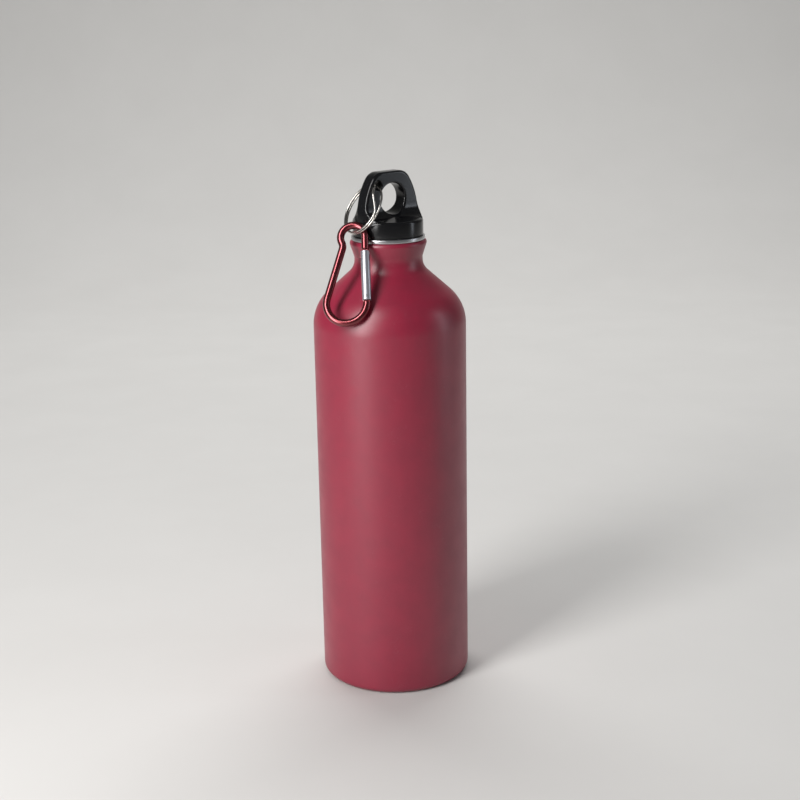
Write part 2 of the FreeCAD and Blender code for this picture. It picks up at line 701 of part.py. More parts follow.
os.makedirs("parts", exist_ok=True)
for label in PARTS:
    item = doc.getObjectsByLabel(label)[0]
    if item.Shape.isNull() or not item.Shape.isValid():
        raise RuntimeError(f"{label} has no valid shape")
    item.Shape.exportStep(f"parts/{label}.step")
    box = item.Shape.BoundBox
    print(f"{label}: {len(item.Shape.Solids)} solid, volume {item.Shape.Volume:.1f}, "
          f"z {box.ZMin:.2f} to {box.ZMax:.2f}")
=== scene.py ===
"""Visual model of a drawn metal drinking bottle with a screw cap, split ring and carabiner.

Lengths inside the classes are millimetres, as on a maker's drawing, and they become metres where a
mesh is put into the scene. +Z runs up the bottle's axis and z = 0 is the table it stands on.
"""

import logging
import math
from dataclasses import dataclass
from enum import Enum

import bpy
import numpy as np
from mathutils import Matrix, Vector

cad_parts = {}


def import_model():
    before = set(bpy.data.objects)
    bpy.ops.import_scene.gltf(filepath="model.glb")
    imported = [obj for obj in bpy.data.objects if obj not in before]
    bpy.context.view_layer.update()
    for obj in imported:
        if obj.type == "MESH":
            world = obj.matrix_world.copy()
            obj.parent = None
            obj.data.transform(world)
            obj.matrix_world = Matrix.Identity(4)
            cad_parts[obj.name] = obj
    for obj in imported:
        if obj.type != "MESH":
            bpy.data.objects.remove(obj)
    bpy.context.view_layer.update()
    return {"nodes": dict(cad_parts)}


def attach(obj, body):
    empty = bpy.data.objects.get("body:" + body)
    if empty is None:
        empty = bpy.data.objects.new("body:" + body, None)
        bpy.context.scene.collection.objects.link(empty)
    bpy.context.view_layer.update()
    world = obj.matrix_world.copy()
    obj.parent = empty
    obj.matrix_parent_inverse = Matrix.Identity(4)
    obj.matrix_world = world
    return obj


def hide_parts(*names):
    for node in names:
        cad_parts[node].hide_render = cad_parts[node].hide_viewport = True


LOG = logging.getLogger("bottle")
METRES = 0.001
CREASE = 38.0  # degrees that an edge bends by before it is shaded sharp
HAIR = 0.02  # millimetres that a hidden face stands back from the face beside it
Array = np.ndarray


# ---- surfaces


@dataclass
class Surface:
    """A mesh in the making: points in millimetres, and faces with the number of their finish."""

    points: Array
    faces: list[Array]
    finish: list[int]

    def placed(self, axes: Array, origin: Array) -> "Surface":
        """This surface carried into another frame.

        Args:
            axes: Three rows, the directions that x, y and z take.
            origin: The point that (0, 0, 0) goes to.

        Returns:
            The carried surface.
        """
        return Surface(self.points @ axes + origin, self.faces, self.finish)


def sheet_faces(rows: int, columns: int, wrap_rows: bool, wrap_columns: bool) -> Array:
    """Four-cornered faces over a grid of points stored row by row.

    Args:
        rows: Number of rows.
        columns: Number of points in a row.
        wrap_rows: True where the last row meets the first.
        wrap_columns: True where each row closes on itself.

    Returns:
        An array of corner numbers, one face a line.
    """
    row = np.arange(rows if wrap_rows else rows - 1)[:, None]
    column = np.arange(columns if wrap_columns else columns - 1)[None, :]
    next_row, next_column = (row + 1) % rows, (column + 1) % columns
    corners = [row * columns + column, row * columns + next_column,
               next_row * columns + next_column, next_row * columns + column]
    return np.stack([np.broadcast_to(c, (row.size, column.size)) for c in corners], axis=-1).reshape(-1, 4)


def fan(centre: int, ring: Array, flip: bool) -> Array:
    """Triangles from a centre point to a closed ring of points.

    Args:
        centre: Number of the centre point.
        ring: Numbers of the ring's points in order.
        flip: True to turn the triangles over.

    Returns:
        An array of corner numbers, three a line.
    """
    onward = np.roll(ring, -1)
    middle = np.full_like(ring, centre)
    order = (middle, onward, ring) if flip else (middle, ring, onward)
    return np.stack(order, axis=-1)


def arc(centre: tuple[float, float], radius: float, start: float, stop: float, count: int) -> Array:
    """Points on a round arc, centre + radius * (cos, sin) of an angle that runs evenly from start to stop.

    Args:
        centre: The arc's centre.
        radius: Its radius.
        start: First angle in degrees.
        stop: Last angle in degrees.
        count: Number of points.

    Returns:
        The points, one a line.
    """
    angle = np.radians(np.linspace(start, stop, count))
    return np.stack([centre[0] + radius * np.cos(angle), centre[1] + radius * np.sin(angle)], axis=-1)


def lathe(profile: Array, around: int, closed: bool = False, inner_from: int | None = None) -> Surface:
    """A profile of (radius, height) points turned about the Z axis.

    Point (i, j) is (r_i cos a_j, r_i sin a_j, z_i), with a_j evenly round the circle. A first or last
    point on the axis becomes one pole with a fan of triangles.

    Args:
        profile: The profile. It runs so that the outside lies on its right hand.
        around: Number of points round the circle.
        closed: True where the profile's last point joins its first.
        inner_from: Row from which faces take the second finish.

    Returns:
        The turned surface.
    """
    on_axis = np.abs(profile[:, 0]) < 1e-9
    body = profile[~on_axis]
    angle = np.linspace(0.0, 2 * math.pi, around, endpoint=False)
    grid = np.stack([np.outer(body[:, 0], np.cos(angle)), np.outer(body[:, 0], np.sin(angle)),
                     np.repeat(body[:, 1:], around, axis=1)], axis=-1)
    points = grid.reshape(-1, 3)
    quads = sheet_faces(len(body), around, closed, True)
    split = len(quads) if inner_from is None else inner_from * around
    faces, finish = [quads[:split], quads[split:]], [0, 1]
    for first in (True, False):
        pole = 0 if first else -1
        if not on_axis[pole]:
            continue
        ring = np.arange(around) + (0 if first else (len(body) - 1) * around)
        faces.append(fan(len(points), ring, first))
        finish.append(0 if first or inner_from is None else 1)
        points = np.vstack([points, [[0.0, 0.0, profile[pole, 1]]]])
    kept = [(f, n) for f, n in zip(faces, finish) if len(f)]
    return Surface(points, [f for f, _ in kept], [n for _, n in kept])


def sweep(path: Array, section: Array, normal: Array, size: Array | None = None) -> Surface:
    """A closed section carried along an open path, with both ends closed.

    At each station the section's first axis is the side direction, normal x tangent, and its second axis
    is the part of normal that is square to the tangent. The section is scaled by size there.

    Args:
        path: The path's points.
        section: The section's (side, normal) points, anticlockwise.
        normal: A direction, or one a station, near square to the path.
        size: Scale of the section at each station.

    Returns:
        The swept surface.
    """
    tangent = np.gradient(path, axis=0)
    tangent /= np.linalg.norm(tangent, axis=1)[:, None]
    across = np.broadcast_to(normal, path.shape)
    across = across - (across * tangent).sum(1)[:, None] * tangent
    across /= np.linalg.norm(across, axis=1)[:, None]
    side = np.cross(across, tangent)
    scale = np.ones(len(path)) if size is None else size
    reach = section[None, :, :] * scale[:, None, None]
    grid = path[:, None, :] + reach[..., :1] * side[:, None, :] + reach[..., 1:] * across[:, None, :]
    count = len(section)
    points = np.vstack([grid.reshape(-1, 3), path[:1], path[-1:]])
    ring = np.arange(count)
    last = (len(path) - 1) * count
    faces = [sheet_faces(len(path), count, False, True),
             fan(len(points) - 2, ring, True), fan(len(points) - 1, ring + last, False)]
    return Surface(points, faces, [0, 0, 0])


def round_section(radius: float, count: int) -> Array:
    """A circle of points about (0, 0), anticlockwise."""
    return arc((0.0, 0.0), radius, 0.0, 360.0 * (count - 1) / count, count)


def slab(outline: Array, thickness: float) -> Surface:
    """A flat outline in x and z given a thickness along y, centred on y = 0.

    Args:
        outline: The (x, z) corners, anticlockwise with x to the right and z up.
        thickness: The plate's thickness.

    Returns:
        The closed plate, with one face on each side.
    """
    count = len(outline)
    low = np.insert(outline, 1, -thickness / 2, axis=1)
    high = np.insert(outline, 1, thickness / 2, axis=1)
    ring = np.arange(count)
    walls = sheet_faces(2, count, False, True)[:, ::-1]
    return Surface(np.vstack([low, high]), [ring[None, :], (ring + count)[None, ::-1], walls], [0, 0, 0])


# ---- finishes


class Bench:
    """Places and joins nodes in one tree."""

    def __init__(self, tree: bpy.types.NodeTree) -> None:
        """Start on the tree that the nodes go into."""
        self.tree = tree

    def feed(self, socket: bpy.types.NodeSocket, given: object) -> None:
        """Join an input to a socket, or set its value.

        Args:
            socket: The input.
            given: The socket or the value that it takes.
        """
        if isinstance(given, bpy.types.NodeSocket):
            self.tree.links.new(given, socket)
        else:
            socket.default_value = given

    def add(self, kind: str, settings: dict[str, object] | None = None, **sockets: object) -> bpy.types.Node:
        """Place a node.

        Args:
            kind: The node's type name.
            settings: Properties of the node.
            **sockets: Input values or the sockets to join, by name with _ for a space.

        Returns:
            The new node.
        """
        node = self.tree.nodes.new(kind)
        for name, setting in (settings or {}).items():
            setattr(node, name, setting)
        for name, given in sockets.items():
            self.feed(node.inputs[name.replace("_", " ")], given)
        return node

    def math(self, operation: str, *given: object) -> bpy.types.NodeSocket:
        """Place a Math node.

        Args:
            operation: The node's operation.
            *given: Its inputs in order, values or sockets.

        Returns:
            The result's socket.
        """
        node = self.add("ShaderNodeMath", {"operation": operation})
        for socket, value in zip(node.inputs, given):
            self.feed(socket, value)
        return node.outputs[0]

    def blend(self, share: bpy.types.NodeSocket, low: object, high: object) -> bpy.types.NodeSocket:
        """A colour between two colours.

        Args:
            share: 0 for low and 1 for high.
            low: A colour or a socket.
            high: A colour or a socket.

        Returns:
            The mixed colour's socket.
        """
        node = self.add("ShaderNodeMix", {"data_type": "RGBA"}, Factor=share)
        colour_a, colour_b = node.inputs[6], node.inputs[7]
        self.feed(colour_a, low)
        self.feed(colour_b, high)
        return node.outputs[2]


def new_group(name: str, inputs: dict[str, float | None], outputs: list[str]) -> bpy.types.NodeTree:
    """An empty shader node group with named sockets.

    Args:
        name: The group's name.
        inputs: Socket names with their defaults, None for a vector.
        outputs: Names of the value outputs.

    Returns:
        The group.
    """
    group = bpy.data.node_groups.new(name, "ShaderNodeTree")
    for label, default in inputs.items():
        kind = "NodeSocketVector" if default is None else "NodeSocketFloat"
        socket = group.interface.new_socket(label, in_out="INPUT", socket_type=kind)
        if default is not None:
            socket.default_value = default
    for label in outputs:
        group.interface.new_socket(label, in_out="OUTPUT", socket_type="NodeSocketFloat")
    return group


def grain_group() -> bpy.types.NodeTree:
    """Fine grain of a moulded, sprayed or turned surface, with slow unevenness of its shade.

    The clouds of shade are 24 times as large as the grain.

    Returns:
        A group with Vector and Scale in, and Height and Shade out.
    """
    group = new_group("surface_grain", {"Vector": None, "Scale": 1000.0}, ["Height", "Shade"])
    bench = Bench(group)
    given = bench.add("NodeGroupInput").outputs
    fine = bench.add("ShaderNodeTexNoise", Vector=given["Vector"], Scale=given["Scale"], Detail=3.0)
    slow = bench.math("DIVIDE", given["Scale"], 24.0)
    cloud = bench.add("ShaderNodeTexNoise", Vector=given["Vector"], Scale=slow, Detail=4.0)
    shade = bench.add("ShaderNodeMapRange", Value=cloud.outputs["Fac"], From_Min=0.32, From_Max=0.68)
    bench.add("NodeGroupOutput", Height=fine.outputs["Fac"], Shade=shade.outputs["Result"])
    return group


def marks_group() -> bpy.types.NodeTree:
    """Faint hair lines from handling, where a warped noise crosses a thin band, in a few patches.

    Returns:
        A group with Vector, Scale and Amount in, and Mask out.
    """
    group = new_group("handling_marks", {"Vector": None, "Scale": 200.0, "Amount": 0.3}, ["Mask"])
    bench = Bench(group)
    given = bench.add("NodeGroupInput").outputs
    line = bench.add("ShaderNodeTexNoise", Vector=given["Vector"], Scale=given["Scale"], Detail=1.0,
                     Distortion=1.6).outputs["Fac"]
    smooth = {"interpolation_type": "SMOOTHSTEP"}
    rising = bench.add("ShaderNodeMapRange", smooth, Value=line, From_Min=0.495, From_Max=0.515)
    falling = bench.add("ShaderNodeMapRange", smooth, Value=line, From_Min=0.515, From_Max=0.535,
                        To_Min=1.0, To_Max=0.0)
    patch = bench.add("ShaderNodeTexNoise", Vector=given["Vector"], Scale=90.0, Detail=2.0)
    where = bench.add("ShaderNodeMapRange", Value=patch.outputs["Fac"], From_Min=0.5, From_Max=0.7)
    band = bench.math("MULTIPLY", rising.outputs["Result"], falling.outputs["Result"])
    kept = bench.math("MULTIPLY", band, where.outputs["Result"])
    bench.add("NodeGroupOutput", Mask=bench.math("MULTIPLY", kept, given["Amount"]))
    return group


@dataclass(frozen=True)
class Finish:
    """One surface finish: its colours, gloss, grain and the marks that handling leaves.

    A rub takes the colour a quarter of the way to pale_rub and adds rub_rough to the roughness.
    """

    name: str
    colour: tuple[float, float, float]
    second: tuple[float, float, float]
    metallic: float
    rough: float
    rough_second: float
    grain: float
    grain_height: float
    marks: float = 0.2
    stretch: tuple[float, float, float] = (1.0, 1.0, 1.0)
    coat: float = 0.0
    coat_rough: float = 0.1
    ior: float = 1.5
    sheen: float = 0.0
    slot: str = ""
    pale_rub: float = 0.7
    rub_share: float = 0.25
    rub_rough: float = 0.2
    rub_scale: float = 260.0
    bump: float = 0.6

    def material(self, grain: bpy.types.NodeTree, marks: bpy.types.NodeTree) -> bpy.types.Material:
        """Build the material.

        Args:
            grain: The surface grain group.
            marks: The handling marks group.

        Returns:
            The new material.
        """
        made = bpy.data.materials.new(self.name)
        made.use_nodes = True
        made.diffuse_color = (*self.colour, 1.0)
        bench = Bench(made.node_tree)
        shader = made.node_tree.nodes["Principled BSDF"].inputs
        place = bench.add("ShaderNodeTexCoord").outputs["Object"]
        turned = bench.add("ShaderNodeMapping", Vector=place, Scale=self.stretch).outputs["Vector"]
        texture = bench.add("ShaderNodeGroup", {"node_tree": grain}, Vector=turned, Scale=self.grain).outputs
        rubs = bench.add("ShaderNodeGroup", {"node_tree": marks}, Vector=place, Scale=self.rub_scale,
                         Amount=self.marks).outputs["Mask"]
        toned = bench.blend(texture["Shade"], (*self.colour, 1.0), (*self.second, 1.0))
        pale = tuple((1 - self.rub_share) * c + self.rub_share * self.pale_rub for c in self.second)
        bench.feed(shader["Base Color"], bench.blend(rubs, toned, (*pale, 1.0)))
        gloss = bench.add("ShaderNodeMapRange", Value=texture["Shade"], To_Min=self.rough,
                          To_Max=self.rough_second).outputs["Result"]
        bench.feed(shader["Roughness"], bench.math("MULTIPLY_ADD", rubs, self.rub_rough, gloss))
        bump = bench.add("ShaderNodeBump", Strength=self.bump, Distance=self.grain_height * METRES,
                         Height=texture["Height"])
        bench.feed(shader["Normal"], bump.outputs["Normal"])
        for socket, value in (("Metallic", self.metallic), ("IOR", self.ior), ("Coat Weight", self.coat),
                              ("Coat Roughness", self.coat_rough), ("Sheen Weight", self.sheen)):
            bench.feed(shader[socket], value)
        return made


POWDER_COAT = Finish("red_powder_coat", (0.265, 0.010, 0.036), (0.235, 0.010, 0.034), 0.0, 0.36, 0.42,
                     2600.0, 0.020, marks=0.10, ior=1.66, slot="powder_coat")
LINER = Finish("inside_lacquer", (0.56, 0.55, 0.50), (0.48, 0.46, 0.40), 0.6, 0.34, 0.45, 900.0, 0.02,
               marks=0.1)
TURNED_RIM = Finish("turned_aluminium", (0.62, 0.62, 0.63), (0.50, 0.50, 0.51), 1.0, 0.26, 0.36,
                    900.0, 0.012, stretch=(1.0, 1.0, 9.0), slot="bare_aluminium")
CAP_BLACK = Finish("gloss_black_plastic", (0.0035, 0.0035, 0.0042), (0.0050, 0.0050, 0.0058), 0.0,
                   0.15, 0.22, 1500.0, 0.005, marks=0.15, ior=1.45, slot="cap_plastic")
STOPPER_BLACK = Finish("matt_black_plastic", (0.012, 0.012, 0.013), (0.018, 0.018, 0.019), 0.0, 0.48, 0.6,
                       1800.0, 0.02, marks=0.1, slot="stopper_plastic")
SEAL_WHITE = Finish("seal_silicone", (0.66, 0.65, 0.62), (0.58, 0.57, 0.53), 0.0, 0.5, 0.6, 700.0, 0.02,
                    marks=0.0, sheen=0.2, slot="seal_silicone")
NICKEL = Finish("nickel_wire", (0.60, 0.58, 0.55), (0.50, 0.48, 0.45), 1.0, 0.16, 0.26, 1400.0, 0.006,
                marks=0.3, slot="ring_nickel")
RED_ANODISED = Finish("red_anodised", (0.20, 0.022, 0.030), (0.165, 0.018, 0.025), 0.9, 0.20, 0.28,
                      1600.0, 0.006, marks=0.35, coat=0.8, coat_rough=0.15, slot="red_anodised")
GATE_SILVER = Finish("silver_anodised", (0.60, 0.61, 0.66), (0.52, 0.53, 0.58), 0.9, 0.34, 0.42,
                     1700.0, 0.010, marks=0.3, stretch=(1.0, 1.0, 0.25), slot="gate_silver")
PIN_STEEL = Finish("pin_steel", (0.52, 0.52, 0.53), (0.42, 0.42, 0.43), 1.0, 0.28, 0.36, 1200.0, 0.008,
                   slot="pin_steel")
FLOOR_CARD = Finish("pale_card", (0.60, 0.592, 0.575), (0.585, 0.577, 0.56), 0.0, 0.62, 0.7, 300.0, 0.02,
                    marks=0.0)


class Palette:
    """Makes each finish's material once and hands it out."""

    def __init__(self) -> None:
        """Build the two shared node groups."""
        self.grain = grain_group()
        self.marks = marks_group()
        self.made: dict[str, bpy.types.Material] = {}

    def get(self, finish: Finish) -> bpy.types.Material:
        """The material of a finish.

        Args:
            finish: The finish.

        Returns:
            Its material, the same one each time.
        """
        if finish.name not in self.made:
            self.made[finish.name] = finish.material(self.grain, self.marks)
        return self.made[finish.name]


class Ride(Enum):
    """The moving bodies of the bottle."""

    BOTTLE = "bottle"
    SEAL = "seal"
    CAP = "cap"
    RING = "ring"
    CARABINER = "carabiner"
    GATE = "gate"


class Workshop:
    """Puts finished surfaces into the scene and reports them."""

    def __init__(self, palette: Palette) -> None:
        """Take the palette that dresses the pieces."""
        self.palette = palette

    def mesh_of(self, surface: Surface, crease: float = CREASE) -> bpy.types.Mesh:
        """A smooth-shaded mesh of a surface, in metres.

        Args:
            surface: The surface.
            crease: Edges that bend by more degrees than this stay sharp.

        Returns:
            The mesh.
        """
        mesh = bpy.data.meshes.new("form")
        faces = [face for block in surface.faces for face in block.tolist()]
        mesh.from_pydata((surface.points * METRES).tolist(), [], faces)
        numbers = np.repeat(surface.finish, [len(block) for block in surface.faces])
        mesh.polygons.foreach_set("material_index", numbers.astype(np.int32))
        mesh.polygons.foreach_set("use_smooth", np.ones(len(faces), bool))
        mesh.update()
        mesh.set_sharp_from_angle(angle=math.radians(crease))
        return mesh

    def carve(self, mesh: bpy.types.Mesh, cutters: list[Surface]) -> bpy.types.Mesh:
        """Cut closed surfaces out of a closed mesh.

        Args:
            mesh: The mesh to cut, which is used up.
            cutters: What is taken away.

        Returns:
            The cut mesh.
        """
        scene = bpy.context.scene.collection
        blank = bpy.data.objects.new("blank", mesh)
        scene.objects.link(blank)
        tools = []
        for cutter in cutters:
            tool = bpy.data.objects.new("tool", self.mesh_of(cutter))
            scene.objects.link(tool)
            cut = blank.modifiers.new("cut", "BOOLEAN")
            cut.operation, cut.solver, cut.object = "DIFFERENCE", "EXACT", tool
            tools.append(tool)
        bpy.context.view_layer.update()
        carved = bpy.data.meshes.new_from_object(blank.evaluated_get(bpy.context.evaluated_depsgraph_get()))
        for used in [blank, *tools]:
            bpy.data.objects.remove(used)
        carved.polygons.foreach_set("use_smooth", np.ones(len(carved.polygons), bool))
        carved.set_sharp_from_angle(angle=math.radians(CREASE))
        return carved

    def show(self, name: str, form: Surface | bpy.types.Mesh, finishes: list[Finish], ride: Ride,
             stands_for: str = "", bevel: float = 0.0) -> None:
        """Put a form into the scene as a piece that rides on a body.

        Args:
            name: The piece's name.
            form: Its surface, or its mesh in metres.
            finishes: Its finishes in the order of their numbers.
            ride: The body that it moves with.
            stands_for: The CAD node that it is shown instead of, if any.
            bevel: Width in millimetres of a rounded edge, 0 for none.
        """
        mesh = self.mesh_of(form) if isinstance(form, Surface) else form
        mesh.name = name
        mesh.materials.clear()
        for finish in finishes:
            mesh.materials.append(self.palette.get(finish))
        piece = bpy.data.objects.new(name, mesh)
        bpy.context.scene.collection.objects.link(piece)
        if bevel:
            rounded = piece.modifiers.new("rounded", "BEVEL")
            rounded.width, rounded.segments, rounded.limit_method = bevel * METRES, 2, "ANGLE"
            rounded.harden_normals = True
        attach(piece, ride.value)
        if stands_for:
            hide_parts(stands_for)
        LOG.info("%s: %d faces, rides on %s", name, len(mesh.polygons), ride.value)

    def dress(self, node: bpy.types.Object, finish: Finish) -> None:
        """Give a carried-over CAD node its finish.

        Args:
            node: The CAD node's object.
            finish: The finish.
        """
        node.data.materials.clear()
        node.data.materials.append(self.palette.get(finish))
        LOG.info("%s: carried over, %s", node.name, finish.name)


# ---- the bottle


@dataclass(frozen=True)
class Thread:
    """A right-handed screw thread: a rounded trapezoid tooth that runs out at both ends.

    The tooth points outwards from its wall, or inwards where its height is negative.
    """

    radius: float
    tooth: float
    start: float
    turns: float
    pitch: float = 4.0
    sunk: float = 0.2
    root_half: float = 0.85
    flank_half: float = 0.52
    crest_half: float = 0.3
    crest_drop: float = 0.25
    run_out: float = 60.0

    def surface(self) -> Surface:
        """The tooth carried along (r cos a, r sin a, start + pitch a / 2 pi).

        Its size rises and falls with the sine of the distance from the ends, over its run-out.

        Returns:
            The ridge.
        """
        angle = np.linspace(0.0, 2 * math.pi * self.turns, int(96 * self.turns))
        rise = self.start + self.pitch * angle / (2 * math.pi)
        path = np.stack([self.radius * np.cos(angle), self.radius * np.sin(angle), rise], axis=-1)
        from_end = np.minimum(angle, angle[-1] - angle) / math.radians(self.run_out)
        size = np.sin(np.clip(from_end, 0.02, 1.0) * math.pi / 2)
        reach = abs(self.tooth)
        flank = reach - self.crest_drop
        lower = np.array([[-self.sunk, -self.root_half], [flank, -self.flank_half],
                          [reach, -self.crest_half]])
        inward = np.vstack([lower, (lower * (1.0, -1.0))[::-1]])
        section = inward if self.tooth < 0 else (inward * (-1.0, 1.0))[::-1]
        return sweep(path, section, np.array([0.0, 0.0, 1.0]), size)


@dataclass
class BottleBody:
    """Drawn shell with a domed base, round shoulder, waisted neck and rolled bead, and its neck insert."""

    radius: float = 37.0
    wall: float = 0.8
    base_wall: float = 1.2
    base_edge: float = 3.5
    foot_inner: float = 30.0
    foot_step: float = 0.4
    foot_lip: tuple[tuple[float, float], ...] = ((28.2, 0.75), (29.2, 0.15))
    dome_radius: float = 27.0
    dome_lift: float = 2.2
    dome_height: float = 7.0
    shoulder_start: float = 180.0
    shoulder_radius: float = 21.3
    shoulder_turn: float = 48.0
    neck: float = 16.4
    fillet: float = 8.0
    waist: float = 213.0
    under_bead: tuple[float, float] = (0.35, 1.1)
    bead: float = 1.7
    bead_centre: float = 16.75
    bead_flare: float = 17.0
    mouth: float = 221.3
    insert_bottom: float = 206.0
    insert_bore: float = 14.1
    flange: float = 17.7
    flange_thick: float = 1.8
    rim_round: float = 0.4
    under_round: float = 0.25
    lead_in: tuple[float, float] = (0.2, 0.3)
    groove_drop: float = 0.92
    groove_half: tuple[float, float] = (0.13, 0.05)
    groove_depth: float = 0.14
    tooth: float = 1.5
    thread_start: float = 208.4
    thread_turns: float = 2.5
    around: int = 256
    soft_crease: float = 50.0

    def shell_profile(self) -> tuple[Array, int]:
        """The shell's closed outline in (radius, height), up the outside and down the inside.

        The dome is part of a ball through its rim and its top. The shoulder's arc, a straight slope at
        90 degrees less its turn, and the neck's hollow arc touch each other.

        Returns:
            The outline, and the number of the row where the inside begins.
        """
        rise = self.dome_height - self.dome_lift
        ball = (self.dome_radius ** 2 + rise ** 2) / (2 * rise)
        open_angle = math.degrees(math.asin(self.dome_radius / ball))
        hub = self.radius - self.shoulder_radius
        slope = math.radians(90.0 - self.shoulder_turn)
        turn = math.radians(self.shoulder_turn)
        slope_foot = (hub + self.shoulder_radius * math.cos(turn),
                      self.shoulder_start + self.shoulder_radius * math.sin(turn))
        fillet_hub = self.neck + self.fillet
        top_r = fillet_hub - self.fillet * math.sin(slope)
        top_z = slope_foot[1] + (slope_foot[0] - top_r) * math.tan(slope)
        hub_z = top_z + self.fillet * math.cos(slope)
        bead_z = self.mouth - self.bead
        low = 270.0 - math.degrees(slope)
        outside = np.vstack([
            arc((0.0, self.dome_height - ball), ball, 90.0, 90.0 - open_angle, 24),
            [*self.foot_lip, (self.foot_inner, 0.0)],
            arc((self.radius - self.base_edge, self.base_edge), self.base_edge, -90.0, 0.0, 12),
            np.stack([np.full(9, self.radius), np.linspace(20.0, self.shoulder_start - 2.0, 9)], axis=-1),
            arc((hub, self.shoulder_start), self.shoulder_radius, 0.0, self.shoulder_turn, 28),
            arc((fillet_hub, hub_z), self.fillet, low, 180.0, 16),
            [[self.neck, self.waist], [self.neck + self.under_bead[0], self.waist + self.under_bead[1]]],
            arc((self.bead_centre, bead_z), self.bead, -self.bead_flare, 90.0, 16),
        ])
        bore = self.neck - self.wall
        inner = self.shoulder_radius - self.wall
        inside = np.vstack([
            [[bore, self.mouth], [bore, hub_z]],
            arc((fillet_hub, hub_z), self.fillet + self.wall, 180.0, low, 12)[1:],
            arc((hub, self.shoulder_start), inner, self.shoulder_turn, 0.0, 20),
            [[self.radius - self.wall, 90.0]],
            arc((self.radius - self.wall - self.base_edge + self.base_wall, self.base_edge),
                self.base_edge - self.base_wall, 0.0, -90.0, 6),
            [[self.foot_inner + self.foot_step, self.base_wall]],
            arc((0.0, self.dome_height - ball + self.base_wall), ball, 90.0 - open_angle, 90.0, 16),
        ])
        return np.vstack([outside, inside]), len(outside) - 1

    def insert_profile(self) -> Array:
        """The threaded insert's closed outline, with a fine turned groove round its rim.

        Returns:
            The outline in (radius, height).
        """
        top = self.mouth + self.flange_thick
        outer, edge, rim = self.neck - self.wall, self.under_round, self.rim_round
        narrow, rise = self.lead_in
        wide, deep = self.groove_half
        middle, sunk = top - self.groove_drop, self.flange - self.groove_depth
        return np.vstack([
            [[self.insert_bore, self.insert_bottom], [outer - narrow, self.insert_bottom],
             [outer - HAIR, self.insert_bottom + rise], [outer - HAIR, self.mouth + HAIR / 2]],
            arc((self.flange - edge, self.mouth + HAIR / 2 + edge), edge, -90.0, 0.0, 4),
            [[self.flange, middle - wide], [sunk, middle - deep], [sunk, middle + deep],
             [self.flange, middle + wide]],
            arc((self.flange - rim, top - rim), rim, 0.0, 90.0, 6),
            arc((self.insert_bore + rim, top - rim), rim, 90.0, 180.0, 6),
        ])

    def build(self, shop: Workshop) -> None:
        """Make the shell, the insert and its thread.

        Args:
            shop: Where the pieces are finished.
        """
        profile, inner_from = self.shell_profile()
        shell = shop.mesh_of(lathe(profile, self.around, inner_from=inner_from), self.soft_crease)
        shop.show("bottle_wall", shell, [POWDER_COAT, LINER], Ride.BOTTLE, "bottle_shell")
        ring = lathe(self.insert_profile(), 192, closed=True)
        shop.show("neck_ring", ring, [TURNED_RIM], Ride.BOTTLE, "neck_insert")
        thread = Thread(self.insert_bore, -self.tooth, self.thread_start, self.thread_turns)
        shop.show("neck_thread", thread.surface(), [TURNED_RIM], Ride.BOTTLE)


# ---- the cap


